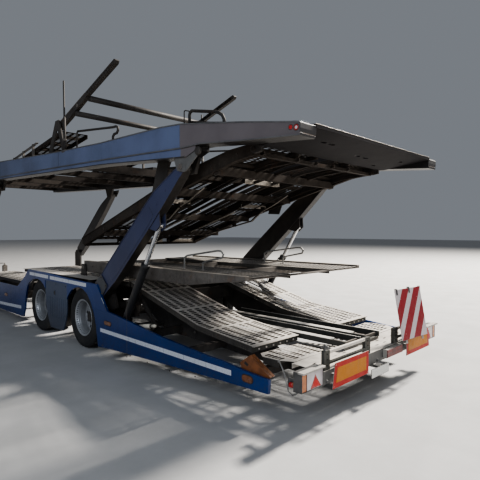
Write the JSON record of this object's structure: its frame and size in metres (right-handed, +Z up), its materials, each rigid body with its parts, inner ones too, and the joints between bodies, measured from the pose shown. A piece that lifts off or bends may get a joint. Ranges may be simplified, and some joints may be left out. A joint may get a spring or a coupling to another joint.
{
  "type": "car transporter trailer",
  "caption": "Close-coupled centre-axle car transporter trailer with twin wheels, a lifting upper deck on leaning arms, tilting platforms and perforated wheel tracks",
  "frame": {"origin": "middle of the overall length and width, on the floor", "axes": "+X to the trailer's right, +Y forward to the towing eye, +Z up"},
  "size_m": [2.55, 10.338, 3.7005],
  "materials": {
    "board_red_white": "retroreflective",
    "chrome_rod": "polished",
    "cylinder_black": "gloss",
    "lamp_housing": "satin",
    "paint_blue": "weathered gloss",
    "paint_grey": "weathered satin",
    "paint_grey_blue": "weathered satin",
    "plate_white": "satin",
    "plate_yellow": "retroreflective",
    "rim_silver": "satin",
    "steel_dark": "dirty matt",
    "steel_galvanised": "galvanised, dirty",
    "steel_grey": "dirty satin",
    "steel_rusty": "dirty matt, rust",
    "tyre": "matt"
  },
  "bodies": {
    "chassis": {"arch_covers": "paint_blue", "arm_brackets": "steel_grey", "axles": "steel_dark", "cross_members": "steel_dark", "drawbar": "steel_grey", "frame_rails": "steel_dark", "jack_leg": "steel_grey", "lower_front_tracks": "steel_galvanised", "lower_rear_tracks": "steel_galvanised", "marker_plates": "plate_yellow", "number_plate": "plate_white", "rear_beam": "steel_grey", "skirts_front": "paint_blue", "skirts_rear": "paint_blue", "stored_ramps": "steel_galvanised", "striped_board": "board_red_white", "suspension": "steel_dark", "tail_lamps": "lamp_housing", "tail_tracks": "steel_galvanised", "wheel_deck": "steel_galvanised", "wheel_panels": "paint_grey"},
    "upper_deck": {"upper_side_beams": "paint_grey_blue", "arm_top_brackets": "steel_grey", "upper_cross_members": "steel_dark", "upper_front_tracks": "steel_galvanised", "upper_rear_flaps": "steel_galvanised", "upper_ramp": "steel_dark", "hub_posts": "steel_dark"},
    "rear_arms": {"rear_arms": "paint_blue"},
    "front_arms": {"front_arms": "paint_blue"},
    "lift_barrels": {"lift_barrels": "cylinder_black"},
    "lift_rods": {"lift_rods": "chrome_rod"},
    "tilt_platform": {"tilt_platform_frame": "steel_rusty", "tilt_platform_tracks": "steel_galvanised"},
    "middle_platform": {"mid_platform_frame": "steel_grey", "mid_platform_tracks": "steel_galvanised"},
    "raised_frame": {"raised_frame": "steel_dark"},
    "wheel_rear_left": {"tyres_rear_left": "tyre", "rims_rear_left": "rim_silver"},
    "wheel_rear_right": {"tyres_rear_right": "tyre", "rims_rear_right": "rim_silver"},
    "wheel_front_left": {"tyres_front_left": "tyre", "rims_front_left": "rim_silver"},
    "wheel_front_right": {"tyres_front_right": "tyre", "rims_front_right": "rim_silver"}
  },
  "joints": [
    {"name": "spin_rear_left", "type": "hinge", "parent": "chassis", "child": "wheel_rear_left", "pos_m": [0, -1.431, 0.398], "axis": [1, 0, 0], "continuous": true},
    {"name": "spin_rear_right", "type": "hinge", "parent": "chassis", "child": "wheel_rear_right", "pos_m": [0, -1.431, 0.398], "axis": [1, 0, 0], "continuous": true},
    {"name": "spin_front_left", "type": "hinge", "parent": "chassis", "child": "wheel_front_left", "pos_m": [0, 0, 0.398], "axis": [1, 0, 0], "continuous": true},
    {"name": "spin_front_right", "type": "hinge", "parent": "chassis", "child": "wheel_front_right", "pos_m": [0, 0, 0.398], "axis": [1, 0, 0], "continuous": true},
    {"name": "deck_lift", "type": "hinge", "parent": "chassis", "child": "rear_arms", "pos_m": [0, -1.971, 0.786], "axis": [-1, 0, 0], "range_deg": [-24, 6]},
    {"name": "deck_on_arms", "type": "hinge", "parent": "rear_arms", "child": "upper_deck", "pos_m": [0, -3.58686, 2.16608], "axis": [-1, 0, 0], "range_deg": [-6, 24]},
    {"name": "front_arms_follow", "type": "hinge", "parent": "chassis", "child": "front_arms", "pos_m": [0, 3.719, 1], "axis": [-1, 0, 0], "range_deg": [-24, 6]},
    {"name": "barrel_swing", "type": "hinge", "parent": "chassis", "child": "lift_barrels", "pos_m": [0, -2.451, 0.48], "axis": [-1, 0, 0], "range_deg": [-25.73, 6.43]},
    {"name": "rod_extend", "type": "slide", "parent": "lift_barrels", "child": "lift_rods", "axis": [0, -0.5293, 0.8484], "range_m": [-0.23218, 0.05805]},
    {"name": "platform_tilt", "type": "hinge", "parent": "upper_deck", "child": "tilt_platform", "pos_m": [0, -4.381, 2.262], "axis": [-1, 0, 0], "range_deg": [-15.84, 3.96]},
    {"name": "middle_platform_lift", "type": "hinge", "parent": "chassis", "child": "middle_platform", "pos_m": [0, -1.081, 1.04], "axis": [-1, 0, 0], "range_deg": [-2, 10]},
    {"name": "top_frame_fold", "type": "hinge", "parent": "upper_deck", "child": "raised_frame", "pos_m": [0, -0.381, 3.15], "axis": [-1, 0, 0], "range_deg": [-24, 8]}
  ],
  "couplings": [
    {"joint": "deck_on_arms", "follows": "deck_lift", "ratio": -1},
    {"joint": "front_arms_follow", "follows": "deck_lift", "ratio": 1},
    {"joint": "barrel_swing", "follows": "deck_lift", "ratio": 1.072},
    {"joint": "rod_extend", "follows": "deck_lift", "m_per_rad": 0.5543},
    {"joint": "platform_tilt", "follows": "deck_lift", "ratio": 0.66}
  ]
}
